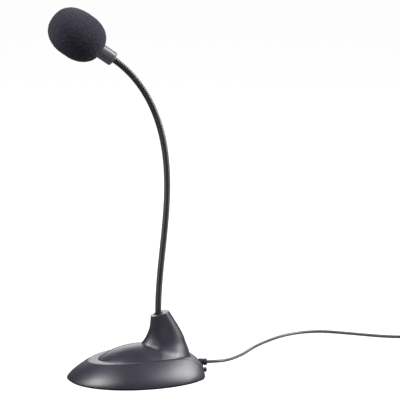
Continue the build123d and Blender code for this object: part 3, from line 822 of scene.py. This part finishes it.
def skin(name, centre_y, turns, inner, outer, height, rows):
    """A surface over rays from inner to outer radius, its rows evenly spaced along the slope."""
    share = np.linspace(0, 1, RAY_SAMPLES) ** CROWDING
    radii = inner[:, None] + (outer - inner)[:, None] * share
    x, y = rays(centre_y, turns, radii)
    z = height(x, y)
    along = np.cumsum(np.hypot(np.diff(radii, axis=1), np.diff(z, axis=1)), axis=1)
    along = np.concatenate([np.zeros((len(turns), 1)), along], axis=1)
    points = np.zeros((rows, len(turns), 3))
    for j in range(len(turns)):
        wanted = np.linspace(0, along[j, -1], rows)
        for k, values in enumerate((x, y, z)):
            points[:, j, k] = np.interp(wanted, along[j], values[j])
    faces = [face[::-1] for face in grid_faces(rows, len(turns))]
    return mesh_piece(name, (points.reshape(-1, 3) * MM).tolist(), faces)


def with_modifiers(piece):
    """Replaces the mesh with what its modifiers make of it."""
    result = bpy.data.meshes.new_from_object(piece.evaluated_get(bpy.context.evaluated_depsgraph_get()))
    piece.modifiers.clear()
    piece.data = result
    return piece


def thicken(piece, thickness):
    """Gives a skin a wall of that many millimetres, inwards."""
    solid = piece.modifiers.new("wall", "SOLIDIFY")
    solid.thickness = thickness * MM
    solid.offset = -1
    return with_modifiers(piece)


def open_window(piece, x, z, ahead):
    """Cuts a rectangular window in the part of a thin skin that lies beyond y = ahead."""
    skin_mesh = bmesh.new()
    skin_mesh.from_mesh(piece.data)
    for axis, places in ((Vector((1, 0, 0)), x), (Vector((0, 0, 1)), z)):
        for place in places:
            rear = [face for face in skin_mesh.faces if face.calc_center_median().y > ahead * MM]
            around = {item for face in rear for item in (face, *face.edges, *face.verts)}
            bmesh.ops.bisect_plane(skin_mesh, geom=list(around), plane_co=axis * place * MM, plane_no=axis)
    inside = []
    for face in skin_mesh.faces:
        centre = face.calc_center_median() / MM
        if centre.y > ahead and x[0] < centre.x < x[1] and z[0] < centre.z < z[1]:
            inside.append(face)
    bmesh.ops.delete(skin_mesh, geom=inside, context="FACES")
    skin_mesh.to_mesh(piece.data)
    skin_mesh.free()


def dome_foot(turns, centre_y):
    """Radius at which the upper tier runs out on the ledge."""
    return first_radius(centre_y, turns, lambda x, y: cover_height(x, y) < ledge_height(y), FOOT_LIMIT)


def shell():
    """Lower body: flank, rounded lip, ledge with its seam groove, heel and rear wall."""
    centre_y = DOME_CENTRE[1]

    def edge(turns):
        return first_radius(centre_y, turns, lambda x, y: flank_height(x, y) < PAD_TOP, EDGE_LIMIT)

    around, rows = SHELL_GRID
    turns = even_turns(around, edge)
    foot = dome_foot(turns, centre_y)

    def height(x, y):
        radius = np.hypot(x, y - centre_y)
        to_seam = np.abs(radius - foot[:, None]) / SEAM_WIDTH
        groove = SEAM_DEPTH * (1 - ease(to_seam)) + SEAM_DEPTH * (radius < foot[:, None]) * ease(to_seam)
        return lower(flank_height(x, y), ledge_height(y), LIP_SOFTNESS) - groove

    piece = skin("lower_body", centre_y, turns, foot - TUCK, edge(turns), height, rows)
    knob_low, knob_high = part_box("switch_knob")
    travel = joints["switch_slide"]["range_m"][1] / MM
    room_x, room_z = SLOT_ROOM
    slot_x = (knob_low.x / MM - room_x, knob_high.x / MM + travel + room_x)
    slot_z = (knob_low.z / MM - room_z, knob_high.z / MM + room_z)
    open_window(piece, slot_x, slot_z, REAR_WALL_Y)
    thicken(piece, SHELL_WALL)
    finish_piece(piece, "shell_plastic", "base")
    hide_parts("base_shell")


def cover():
    """Upper tier and tower: one moulding with the neck's hole in its slanted top."""
    centre_y = NECK_FOOT.y / MM
    around, rows = COVER_GRID
    turns = np.linspace(0, 2 * pi, around, endpoint=False)
    foot = dome_foot(turns, centre_y) + FOOT_OVERHANG

    def height(x, y):
        radius = np.hypot(x, y - centre_y)
        well = WELL_DEPTH * (1 - ease((radius - NECK_HOLE + WELL_EDGE) / (2 * WELL_EDGE)))
        round_foot = FOOT_DROP * ease(1 - (foot[:, None] - radius) / FOOT_REACH)
        return cover_height(x, y) - well - round_foot

    inner = np.full(len(turns), NECK_HOLE - WELL_INSET)
    piece = skin("upper_body", centre_y, turns, inner, foot, height, rows)
    thicken(piece, COVER_WALL)
    finish_piece(piece, "cover_plastic", "base")
    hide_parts("top_cover")


shell()
cover()


# ---------------------------------------------------------------- studio
FLOOR_RADIUS = 8.0
FLOOR_SIDES = 64
FLOOR_GLOW = (0.97, 0.02)    # what the camera sees, and what falls on the object
WORLD_GLOW = (1.1, 0.06)
LAMP_DISTANCE = 1.25
LAMP_AIM = (0, 0, 0.03)
# Name, azimuth, elevation, width, height and radiance.
SOFTBOXES = (
    ("softbox_left", -102, 48, 0.6, 0.5, 22.0),
    ("softbox_right", 100, 40, 0.55, 0.95, 19.0),
    ("softbox_behind", 15, 25, 1.2, 0.5, 4.5),
    ("softbox_front", 180, 6, 1.0, 0.4, 1.2),
)


def strength_by_ray(tree, seen, unseen):
    """One value for what the camera sees and another for the light that falls on the object."""
    path = add_node(tree, "ShaderNodeLightPath")
    level = add_node(tree, "ShaderNodeMapRange", To_Min=unseen, To_Max=seen)
    tree.links.new(path.outputs["Is Camera Ray"], level.inputs["Value"])
    return level.outputs["Result"]


def studio_floor():
    """A white table top, round and wide enough for every view."""
    turns = [2 * pi * i / FLOOR_SIDES for i in range(FLOOR_SIDES)]
    rim = [(FLOOR_RADIUS * cos(turn), FLOOR_RADIUS * sin(turn), 0) for turn in turns]
    floor = mesh_piece("studio_floor", rim, [tuple(range(FLOOR_SIDES))], smooth=False)
    material = new_material("studio_floor", (0.18, 0.18, 0.18), 0.9)
    shader = material.node_tree.nodes["Principled BSDF"]
    shader.inputs["Specular IOR Level"].default_value = 0.0
    shader.inputs["Emission Color"].default_value = (1, 1, 1, 1)
    link(material, strength_by_ray(material.node_tree, *FLOOR_GLOW), "Emission Strength")
    floor.data.materials.append(material)


def studio_world():
    """White behind the object, and a dim room for the light on it."""
    world = bpy.data.worlds.new("studio")
    bpy.context.scene.world = world
    world.use_nodes = True
    background = world.node_tree.nodes["Background"]
    background.inputs["Color"].default_value = (1, 1, 1, 1)
    level = strength_by_ray(world.node_tree, *WORLD_GLOW)
    world.node_tree.links.new(level, background.inputs["Strength"])


def softbox(name, place, width, height, radiance):
    """A rectangular lamp aimed at the base, of that radiance whatever its size."""
    data = bpy.data.lights.new(name, "AREA")
    data.shape = "RECTANGLE"
    data.size = width
    data.size_y = height
    data.energy = radiance * pi * width * height
    lamp = bpy.data.objects.new(name, data)
    lamp.location = place
    lamp.rotation_euler = (Vector(LAMP_AIM) - place).to_track_quat("-Z", "Y").to_euler()
    lamp.visible_camera = False
    bpy.context.scene.collection.objects.link(lamp)


def on_sky(azimuth, elevation):
    """A place round the object: azimuth 0 is behind it, 90 to the right and -90 to the left."""
    turn, rise = radians(azimuth), radians(elevation)
    return Vector((-cos(rise) * cos(turn), cos(rise) * sin(turn), sin(rise))) * LAMP_DISTANCE


studio_floor()
studio_world()
for name, azimuth, elevation, width, height, radiance in SOFTBOXES:
    softbox(name, on_sky(azimuth, elevation), width, height, radiance)
bpy.context.scene.view_settings.view_transform = "Standard"
